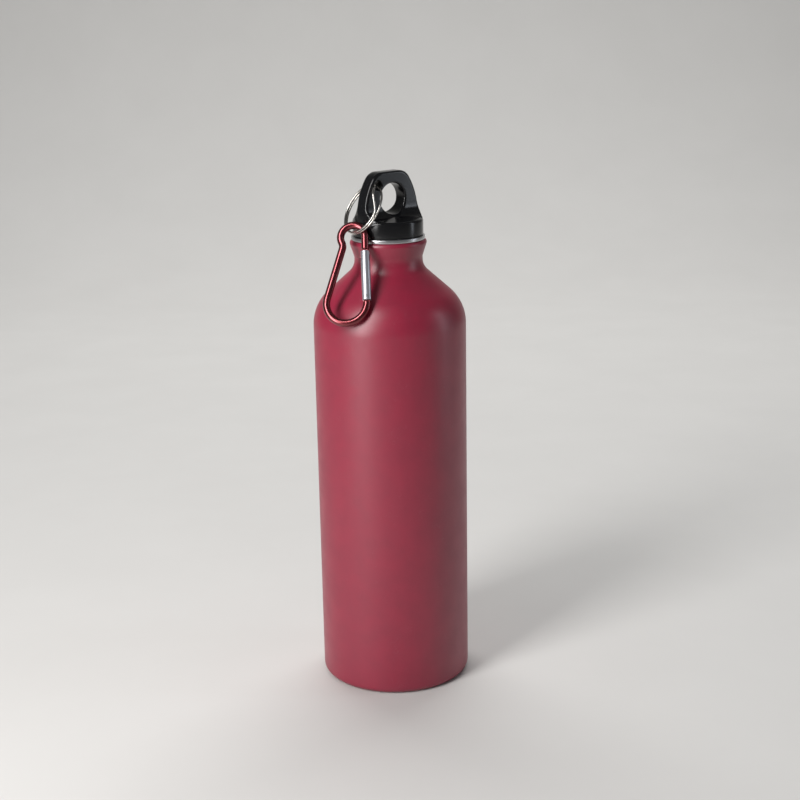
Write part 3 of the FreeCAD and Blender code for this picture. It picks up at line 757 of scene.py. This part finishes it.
@dataclass
class ScrewCap:
    """Moulded cap: round skirt, loop plate with its two holes, threaded stopper, closing disc and seal."""

    yaw: float = 40.0
    seal_bottom: float = 223.15
    seal_thick: float = 1.2
    seal_radius: float = 15.4
    seal_gap: float = 0.15
    seal_round: float = 0.3
    skirt: float = 16.9
    skirt_bottom: float = 223.35
    skirt_top: float = 231.2
    skirt_round: float = 1.4
    crown: float = 1.8
    crown_steps: tuple[tuple[float, float], ...] = ((11.0, 0.35), (6.0, 0.72), (2.5, 0.95), (0.0, 1.0))
    rim_round: float = 0.4
    recess: float = 15.6
    recess_top: float = 226.0
    recess_round: tuple[float, float] = (0.3, 0.25)
    plate_thick: float = 7.0
    plate_top: float = 253.5
    plate_foot: float = 228.4
    top_half: float = 5.4
    corner: float = 7.0
    lean: float = 34.0
    side: float = 31.0
    edge_round: float = 1.2
    eye: tuple[float, float] = (0.5, 240.6)
    eye_radius: float = 7.4
    eye_round: float = 0.9
    ring_hole: tuple[float, float] = (-8.3, 247.6)
    ring_hole_radius: float = 2.3
    ring_hole_flare: float = 0.45
    foot_fillet: float = 7.5
    foot_inset: float = 0.3
    plug: float = 12.2
    plug_bore: float = 10.6
    plug_bottom: float = 208.4
    plug_round: float = 0.4
    flange_thick: float = 1.6
    disc_thick: float = 1.4
    disc_dish: tuple[tuple[float, float], ...] = ((0.0, 0.55), (6.0, 0.5), (8.2, 0.1), (9.0, 0.02))
    tooth: float = 1.5
    thread_start: float = 210.4
    thread_turns: float = 2.0

    def axes(self) -> Array:
        """The plate's directions, turned by its yaw about the bottle's axis.

        Returns:
            Unit rows along the plate, through it to the back, and up.
        """
        yaw = math.radians(self.yaw)
        return np.array([[math.cos(yaw), math.sin(yaw), 0.0], [-math.sin(yaw), math.cos(yaw), 0.0],
                         [0.0, 0.0, 1.0]])

    def skirt_profile(self) -> Array:
        """The skirt's outline from the middle of its recess, round its rim, to the middle of its top.

        Returns:
            The outline in (radius, height).
        """
        low, rim, top, roof = self.skirt_bottom, self.rim_round, self.skirt_top, self.recess_top
        corner, mouth = self.recess_round
        return np.vstack([
            [[0.0, roof], [self.recess - corner, roof], [self.recess, roof - corner]],
            arc((self.recess + mouth, low + mouth), mouth, 180.0, 270.0, 4),
            arc((self.skirt - rim, low + rim), rim, -90.0, 0.0, 6),
            arc((self.skirt - self.skirt_round, top - self.skirt_round), self.skirt_round, 0.0, 88.0, 14),
            [(out, top + self.crown * share) for out, share in self.crown_steps],
        ])

    def plate_outline(self) -> tuple[Array, Array]:
        """The plate's outer edge in (along, up) and its outward normals, anticlockwise from the foot.

        Two large arcs lean in from the foot, two corner arcs touch them and the flat top.

        Returns:
            The points and their unit normals.
        """
        lean = math.radians(self.lean)
        corner_up = self.plate_top - self.corner
        outward = np.array([math.cos(lean), math.sin(lean)])
        hub = np.array([self.top_half, corner_up]) + (self.corner - self.side) * outward
        foot_angle = math.degrees(math.asin((self.plate_foot - hub[1]) / self.side))
        right = np.vstack([arc(tuple(hub), self.side, foot_angle, self.lean, 40)[:-1],
                           arc((self.top_half, corner_up), self.corner, self.lean, 90.0, 24)])
        normals = np.vstack([arc((0.0, 0.0), 1.0, foot_angle, self.lean, 40)[:-1],
                             arc((0.0, 0.0), 1.0, self.lean, 90.0, 24)])
        level = np.linspace(self.top_half, -self.top_half, 14)[1:-1]
        top = np.stack([level, np.full(12, self.plate_top)], axis=-1)
        up = np.tile([0.0, 1.0], (12, 1))
        left, left_normals = right[::-1] * (-1.0, 1.0), normals[::-1] * (-1.0, 1.0)
        across = right[0, 0]
        foot = np.stack([np.linspace(-across, across, 34)[1:-1], np.full(32, self.plate_foot)], axis=-1)
        down = np.tile([0.0, -1.0], (32, 1))
        return np.vstack([right, top, left, foot]), np.vstack([normals, up, left_normals, down])

    def plate_surface(self) -> Surface:
        """The loop plate as a ring of cross-sections from its outer edge to the eye and back.

        Each section starts at the outer edge, turns over a round onto the front face, runs straight to
        the eye's round rim, crosses the eye's wall and returns along the back. Near the skirt the plate
        thickens by a quarter circle, as far as the skirt's own circle leaves room.

        Returns:
            The closed plate in the plate's own axes.
        """
        outline, normals = self.plate_outline()
        centre = np.array(self.eye)
        angle = np.arctan2(outline[:, 1] - centre[1], outline[:, 0] - centre[0])
        ray = np.stack([np.cos(angle), np.sin(angle)], axis=-1)
        half = self.plate_thick / 2
        turn = np.radians(np.linspace(0.0, 90.0, 7))
        back, side = 1 - np.cos(turn), 1 - np.sin(turn)
        outer_in, outer_out = self.edge_round * back, half - self.edge_round * side
        inner_in, inner_out = self.eye_round * back, half - self.eye_round * side
        share = np.linspace(0.0, 1.0, 20)[1:-1]
        edge = [outline - normals * b for b in outer_in]
        rim = [centre + ray * (self.eye_radius + b) for b in inner_in[::-1]]
        between = [edge[-1] * (1 - s) + rim[0] * s for s in share]
        flat = np.array(edge + between + rim)
        out = np.concatenate([outer_out, np.full(len(share), half), inner_out[::-1]])
        spread = np.broadcast_to(out[:, None], flat.shape[:2])
        above = np.clip(flat[..., 1] - self.skirt_top, 0.0, self.foot_fillet)
        flare = self.foot_fillet - np.sqrt(self.foot_fillet ** 2 - (self.foot_fillet - above) ** 2)
        room = np.sqrt(np.clip((self.skirt - self.foot_inset) ** 2 - flat[..., 0] ** 2, half ** 2, None))
        spread = np.minimum(spread + flare * spread / half, np.maximum(spread, room * spread / half))
        front = np.stack([flat[..., 0], -spread, flat[..., 1]], axis=-1)
        grid = np.vstack([front, (front * (1.0, -1.0, 1.0))[::-1]])
        faces = sheet_faces(grid.shape[0], grid.shape[1], True, True)
        return Surface(grid.reshape(-1, 3), [faces], [0])

    def hole_cutter(self) -> Surface:
        """A pin with flared ends that cuts the ring's hole and rounds its two rims.

        Returns:
            The pin in the plate's own axes.
        """
        half, flare = self.plate_thick / 2, self.ring_hole_flare
        wide, past = self.ring_hole_radius + flare, half + 1.0
        front = arc((wide, half - flare), flare, 180.0, 90.0, 6)
        profile = np.vstack([[[0.0, -past], [wide, -past]], front[::-1] * (1.0, -1.0), front,
                             [[wide, past], [0.0, past]]])
        lying = np.array([[1.0, 0.0, 0.0], [0.0, 0.0, 1.0], [0.0, -1.0, 0.0]])
        return lathe(profile, 48).placed(lying, np.array([self.ring_hole[0], 0.0, self.ring_hole[1]]))

    def build(self, shop: Workshop) -> None:
        """Make the cap's pieces.

        Args:
            shop: Where the pieces are finished.
        """
        axes, origin = self.axes(), np.zeros(3)
        shop.show("cap_skirt", lathe(self.skirt_profile(), 224), [CAP_BLACK], Ride.CAP, "cap_shell")
        blank = shop.mesh_of(self.plate_surface().placed(axes, origin))
        plate = shop.carve(blank, [self.hole_cutter().placed(axes, origin)])
        shop.show("loop_plate", plate, [CAP_BLACK], Ride.CAP, "cap_shell")
        low, high, edge = self.plug_bottom + HAIR, self.recess_top - HAIR, self.plug_round
        flange, reach = self.recess_top - self.flange_thick, self.recess - HAIR
        stopper = np.vstack([
            [[self.plug_bore, low]],
            arc((self.plug - edge, self.plug_bottom + edge), edge, -90.0, 0.0, 5),
            [[self.plug, flange], [reach, flange], [reach, high], [self.plug_bore, high]],
        ])
        shop.show("stopper", lathe(stopper, 160, closed=True), [STOPPER_BLACK], Ride.CAP, "cap_plug")
        thread = Thread(self.plug, self.tooth, self.thread_start, self.thread_turns)
        shop.show("stopper_thread", thread.surface(), [STOPPER_BLACK], Ride.CAP)
        rim, lid = self.plug_bore - HAIR, self.disc_thick - HAIR
        disc = np.array([*self.disc_dish, (rim, HAIR), (rim, lid), (0.0, lid)]) + (0.0, self.plug_bottom)
        shop.show("stopper_disc", lathe(disc, 128), [STOPPER_BLACK], Ride.CAP, "plug_disc")
        edge = self.seal_round
        bore, reach = self.plug + self.seal_gap + edge, self.seal_radius - edge
        low, high = self.seal_bottom + edge, self.seal_bottom + self.seal_thick - edge
        seal = np.vstack([arc((bore, low), edge, 180.0, 270.0, 4), arc((reach, low), edge, -90.0, 0.0, 4),
                          arc((reach, high), edge, 0.0, 90.0, 4), arc((bore, high), edge, 90.0, 180.0, 4)])
        shop.show("seal_ring", lathe(seal, 128, closed=True), [SEAL_WHITE], Ride.SEAL, "sealing_gasket")


# ---- ring and carabiner


@dataclass
class SplitRing:
    """Two turns of spring wire. One turn stands off the other beside the plate."""

    radius: float = 12.4
    wire: float = 0.5
    gap: float = 0.55
    splay: float = 4.2
    splay_middle: float = 58.0
    splay_reach: float = 48.0
    jog_at: float = 215.0
    jog: float = 12.0
    swing_out: float = 32.0
    twist: float = -8.0
    slack: float = 0.15
    tip: float = 0.82

    def frame(self, cap: ScrewCap) -> dict[str, Array]:
        """Where the ring hangs.

        Args:
            cap: The cap that it hangs on.

        Returns:
            The ring's centre, its unit vectors hang, front and normal, and its lowest point.
        """
        along, through, up = cap.axes()
        swing, twist = math.radians(self.swing_out), math.radians(self.twist)
        hang = -along * math.sin(swing) - up * math.cos(swing)
        square = up * math.sin(swing) - along * math.cos(swing)
        normal = square * math.cos(twist) - through * math.sin(twist)
        centre = along * cap.ring_hole[0] + up * cap.ring_hole[1] + hang * (self.radius + self.slack)
        down = normal * normal[2] - up
        lowest = centre + down / np.linalg.norm(down) * self.radius
        return {"centre": centre, "hang": hang, "front": np.cross(normal, hang), "normal": normal,
                "lowest": lowest}

    def build(self, shop: Workshop, cap: ScrewCap) -> None:
        """Make the ring.

        The wire's middle goes round centre + radius (-hang cos a + front sin a), and along the normal by
        half a gap to each side, plus a squared cosine bump where the turns stand apart.

        Args:
            shop: Where the piece is finished.
            cap: The cap that it hangs on.
        """
        place = self.frame(cap)
        travel = np.linspace(self.jog, 720.0 - self.jog, 520)
        degrees = self.jog_at + travel
        angle = np.radians(degrees)
        side = np.clip((travel - 360.0) / self.jog, -1.0, 1.0)
        reach = (degrees % 360.0 - self.splay_middle) / self.splay_reach
        bump = np.where(side > 0, np.cos(np.clip(reach, -1.0, 1.0) * math.pi / 2) ** 2, 0.0)
        offset = self.gap * np.sin(side * math.pi / 2) + self.splay * bump
        round_it = np.outer(np.sin(angle), place["front"]) - np.outer(np.cos(angle), place["hang"])
        path = place["centre"] + self.radius * round_it + np.outer(offset, place["normal"])
        size = np.ones(len(path))
        size[[0, -1]] = self.tip
        wire = sweep(path, round_section(self.wire, 20), place["normal"], size)
        shop.show("wire_ring", wire, [NICKEL], Ride.RING, "split_ring")


@dataclass
class Carabiner:
    """Bent rod with a small arch, a kinked spine and a wide bow, and its sprung gate."""

    rod: float = 1.75
    arch: float = 5.8
    kink: float = 4.0
    bow_along: float = -3.31
    bow_drop: float = 37.6
    bow: float = 9.57
    bow_start: float = 17.5
    lean: float = 28.0
    turn: float = 10.0
    hang: float = 3.4
    shift: float = 0.5
    nose_drop: float = 12.2
    hook_back: float = 1.2
    hook_front: float = 1.5
    hook_tip: float = 2.4
    hook_lip: float = 1.7
    notch_half: float = 0.75
    tongue_thick: float = 1.2
    tongue_round: float = 1.6
    tongue_bevel: float = 0.12
    overlap: float = 0.6
    tip: float = 0.88
    tip_length: float = 0.18
    pivot_drop: float = 35.2
    gate_top: float = 13.0
    gate_bottom: float = 36.9
    gate: float = 2.15
    gate_bore: float = 1.25
    gate_solid: float = 6.0
    gate_foot_round: float = 0.2
    gate_top_round: float = 0.5
    slot: float = 1.8
    fork: float = 5.0
    fork_reach: float = 4.0
    latch_drop: float = 14.9
    rivet_proud: float = 0.2
    rivet_head: tuple[tuple[float, float], ...] = ((0.0, 0.0), (0.42, 0.03), (0.6, 0.16))

    def axes(self) -> Array:
        """The carabiner's directions, leaning on the shoulder and turned a little aside.

        Returns:
            Unit rows across it, through it to the back, and up it.
        """
        lean, turn = math.radians(self.lean), math.radians(self.turn)
        up = np.array([0.0, math.sin(lean), math.cos(lean)])
        outward = np.array([0.0, -math.cos(lean), math.sin(lean)])
        right = np.array([math.cos(turn), 0.0, 0.0]) + outward * math.sin(turn)
        return np.array([right, np.cross(up, right), up])

    def rod_path(self) -> Array:
        """The rod's middle line in (across, up) from the nose, over the arch, to the gate's pivot.

        The kink's arc touches the arch's circle from outside and the straight spine, which touches the
        bow's circle. Its centre lies arch + kink from the arch's centre, in the direction that makes its
        distance from the spine's line equal to its radius.

        Returns:
            The path's points.
        """
        start = math.radians(self.bow_start)
        square = np.array([math.cos(start), -math.sin(start)])
        hub, bow_hub = np.array([0.0, -self.arch]), np.array([self.bow_along, -self.bow_drop])
        reach = self.arch + self.kink
        share = (square @ (bow_hub - hub) - self.bow - self.kink) / reach
        towards = math.degrees(2 * math.pi - math.acos(share) - start)
        kink_hub = arc(tuple(hub), reach, towards, towards, 1)[0]
        nose = np.stack([np.full(8, self.arch), np.linspace(-self.nose_drop, -self.arch - 0.3, 8)], axis=-1)
        over = arc(tuple(hub), self.arch, 0.0, towards, 56)
        kinked = arc(tuple(kink_hub), self.kink, towards - 180.0, -self.bow_start, 12)[1:]
        spine_end = bow_hub - self.bow * square
        spine = kinked[-1] + np.linspace(0.0, 1.0, 14)[1:-1, None] * (spine_end - kinked[-1])
        bow = arc(tuple(bow_hub), self.bow, 180.0 - self.bow_start, 360.0, 72)
        return np.vstack([nose, over, kinked, spine, bow])

    def build(self, shop: Workshop, ring: dict[str, Array]) -> None:
        """Make the frame and the gate.

        Args:
            shop: Where the pieces are finished.
            ring: Where the split ring hangs.
        """
        axes = self.axes()
        top = ring["lowest"] + np.array([0.0, 0.0, self.hang]) + axes[0] * self.shift
        flat = self.rod_path()
        inward = np.array([0.0, self.tip_length])
        flat = np.vstack([flat[0], flat[0] + inward, flat[1:-1], flat[-1] - inward, flat[-1]])
        size = np.ones(len(flat))
        size[[0, -1]] = self.tip
        path, through = np.insert(flat, 1, 0.0, axis=1), np.array([0.0, 1.0, 0.0])
        rod = sweep(path, round_section(self.rod, 32), through, size).placed(axes, top)
        shop.show("hook_rod", rod, [RED_ANODISED], Ride.CARABINER, "carabiner_frame")
        back, front = self.arch - self.hook_back, self.arch + self.hook_front
        tip, notch_end = self.arch - self.hook_tip, self.arch + self.notch_half
        high, low = -self.latch_drop + self.notch_half, -self.latch_drop - self.notch_half
        root, lip = -self.nose_drop + self.overlap, -self.latch_drop - self.hook_lip
        hook = np.array([[back, root], [back, high], [notch_end, high], [notch_end, low],
                         [tip, low], [tip, lip], [front, lip], [front, root]])
        middle, half = self.bow_along + self.bow, self.tongue_round
        sunk = -self.bow_drop - self.overlap
        tongue = np.vstack([[[middle - half, sunk], [middle + half, sunk]],
                            arc((middle, -self.pivot_drop), half, 0.0, 180.0, 20)])
        for name, outline in (("nose_hook", hook), ("pivot_tongue", tongue)):
            plate = slab(outline, self.tongue_thick).placed(axes, top)
            shop.show(name, plate, [RED_ANODISED], Ride.CARABINER, bevel=self.tongue_bevel)
        self.build_gate(shop, axes, top)

    def build_gate(self, shop: Workshop, axes: Array, top: Array) -> None:
        """Make the gate's tube with a fork at each end, and its rivet.

        Args:
            shop: Where the pieces are finished.
            axes: The carabiner's directions.
            top: The top of its arch.
        """
        along = self.bow_along + self.bow
        tilt = math.atan2(along - self.arch, self.pivot_drop - self.latch_drop)
        up = axes[2] * math.cos(tilt) - axes[0] * math.sin(tilt)
        own = np.array([np.cross(axes[1], up), axes[1], up])
        pivot = top + axes[0] * along - axes[2] * self.pivot_drop
        foot = pivot - up * (self.gate_bottom - self.pivot_drop)
        length = self.gate_bottom - self.gate_top
        wide, past, half = self.fork_reach, 1.0, self.slot / 2
        box = np.array([[-wide, -half], [wide, -half], [wide, half], [-wide, half]])
        cutters = []
        for low, high in ((-past, self.fork), (length - self.fork, length + past)):
            corners = np.vstack([np.insert(box, 2, low, axis=1), np.insert(box, 2, high, axis=1)])
            ends = np.array([[3, 2, 1, 0], [4, 5, 6, 7]])
            block = Surface(corners, [ends, sheet_faces(2, 4, False, True)], [0, 0])
            cutters.append(block.placed(own, foot))
        tube = shop.carve(shop.mesh_of(lathe(self.tube_profile(length), 64).placed(own, foot)), cutters)
        shop.show("gate_tube", tube, [GATE_SILVER], Ride.GATE, "gate_sleeve")
        lying = np.array([own[0], own[2], own[1]]) * [[1.0], [-1.0], [1.0]]
        end = np.array(self.rivet_head) - (0.0, self.gate + self.rivet_proud)
        pin = lathe(np.vstack([end, (end * (1.0, -1.0))[::-1]]), 32).placed(lying, pivot)
        shop.show("pivot_rivet", pin, [PIN_STEEL], Ride.GATE, "gate_rivet")

    def tube_profile(self, length: float) -> Array:
        """The gate tube's outline from its blind bore's end, round its foot, to the middle of its top.

        Args:
            length: The tube's length.

        Returns:
            The outline in (radius, height).
        """
        blind, foot, top = length - self.gate_solid, self.gate_foot_round, self.gate_top_round
        return np.vstack([
            [[0.0, blind], [self.gate_bore, blind], [self.gate_bore, 0.0]],
            arc((self.gate - foot, foot), foot, -90.0, 0.0, 4),
            arc((self.gate - top, length - top), top, 0.0, 90.0, 6),
            [[0.0, length]],
        ])


# ---- table, light and camera


@dataclass
class Softbox:
    """A square studio light that faces the bottle. Gloss shows it unless it isn't mirrored."""

    name: str
    azimuth: float
    elevation: float
    distance: float
    width: float
    height: float
    power: float
    colour: tuple[float, float, float] = (1.0, 1.0, 1.0)
    mirrored: bool = True

    def place(self, target: Vector) -> None:
        """Put the light into the scene.

        Args:
            target: The point that it faces.
        """
        light = bpy.data.lights.new(self.name, "AREA")
        light.shape, light.size, light.size_y = "RECTANGLE", self.width, self.height
        light.energy, light.color = self.power, self.colour
        lamp = bpy.data.objects.new(self.name, light)
        turn, rise = math.radians(self.azimuth), math.radians(self.elevation)
        back = Vector((math.sin(turn) * math.cos(rise), -math.cos(turn) * math.cos(rise), math.sin(rise)))
        lamp.location = target + back * self.distance
        lamp.rotation_euler = back.to_track_quat("Z", "Y").to_euler()
        lamp.visible_glossy = self.mirrored
        bpy.context.scene.collection.objects.link(lamp)


@dataclass
class Studio:
    """Pale curved backdrop, soft lights and the camera."""

    distance: float = 0.7
    height: float = 0.3357
    pitch: float = 15.55
    yaw: float = 0.35
    roll: float = 1.03
    lens: float = 66.3
    sensor: float = 36.0
    aim: float = 0.13
    room: tuple[float, float, float] = (0.97, 0.98, 1.0)
    room_light: float = 0.12
    card_half: float = 3.0
    card_front: float = -2.0
    card_bend: tuple[float, float] = (0.9, 0.5)
    card_top: float = 3.0
    lights: tuple[Softbox, ...] = (
        Softbox("key_left", -43.0, 28.0, 0.75, 0.24, 0.80, 7.2, (1.0, 0.985, 0.98)),
        Softbox("edge_right", 86.0, 14.0, 0.8, 0.12, 0.60, 0.7, (0.86, 0.92, 1.0)),
        Softbox("back_wash", 180.0, 50.0, 1.5, 1.8, 0.7, 22.0, mirrored=False),
    )

    def build(self, palette: Palette) -> None:
        """Make the backdrop, the lights, the surroundings and the camera.

        Args:
            palette: The materials.
        """
        self.backdrop(palette)
        for light in self.lights:
            light.place(Vector((0.0, 0.0, self.aim)))
        world = bpy.data.worlds.new("room")
        world.use_nodes = True
        surround = world.node_tree.nodes["Background"].inputs
        surround["Color"].default_value = (*self.room, 1.0)
        surround["Strength"].default_value = self.room_light
        scene = bpy.context.scene
        scene.world = world
        scene.view_settings.view_transform = "Standard"
        camera = bpy.data.objects.new("camera", bpy.data.cameras.new("camera"))
        camera.data.sensor_width, camera.data.lens = self.sensor, self.lens
        camera.matrix_world = self.camera_place()
        scene.collection.objects.link(camera)
        scene.camera = camera

    def camera_place(self) -> Matrix:
        """The camera's place: it looks along its yaw and pitch and leans by its roll.

        Returns:
            The camera's matrix in the scene.
        """
        pitch, yaw, roll = (math.radians(a) for a in (self.pitch, self.yaw, self.roll))
        ahead = Vector((math.sin(yaw) * math.cos(pitch), math.cos(yaw) * math.cos(pitch), -math.sin(pitch)))
        level = Vector((math.cos(yaw), -math.sin(yaw), 0.0))
        above = level.cross(ahead)
        right = level * math.cos(roll) - above * math.sin(roll)
        up = level * math.sin(roll) + above * math.cos(roll)
        place = Matrix((right, up, -ahead)).transposed().to_4x4()
        place.translation = Vector((0.0, -self.distance, self.height))
        return place

    def backdrop(self, palette: Palette) -> None:
        """A card that lies flat under the bottle, bends up behind it in a quarter circle and stands upright.

        Args:
            palette: The materials.
        """
        start, bend = self.card_bend
        profile = np.vstack([[[self.card_front, 0.0]], arc((start, bend), bend, -90.0, 0.0, 24),
                             [[start + bend, self.card_top]]])
        grid = np.insert(np.repeat(profile, 2, axis=0), 0, 0.0, axis=1)
        grid[:, 0] = np.tile([-self.card_half, self.card_half], len(profile))
        mesh = bpy.data.meshes.new("backdrop")
        faces = sheet_faces(len(profile), 2, False, False)
        mesh.from_pydata(grid.tolist(), [], faces.tolist())
        mesh.polygons.foreach_set("use_smooth", np.ones(len(faces), bool))
        mesh.materials.append(palette.get(FLOOR_CARD))
        card = bpy.data.objects.new("backdrop", mesh)
        bpy.context.scene.collection.objects.link(card)


def main() -> None:
    """Load the frame, build the bottle's pieces in order, light them and note their size."""
    logging.basicConfig(level=logging.INFO, format="%(name)s: %(message)s")
    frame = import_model()
    palette = Palette()
    shop = Workshop(palette)
    cap = ScrewCap()
    ring = SplitRing()
    BottleBody().build(shop)
    cap.build(shop)
    ring.build(shop, cap)
    Carabiner().build(shop, ring.frame(cap))
    for name in ("latch_pin", "gate_plunger", "gate_spring"):
        shop.dress(frame["nodes"][name], PIN_STEEL)
    Studio().build(palette)


if __name__ == "__main__":
    main()
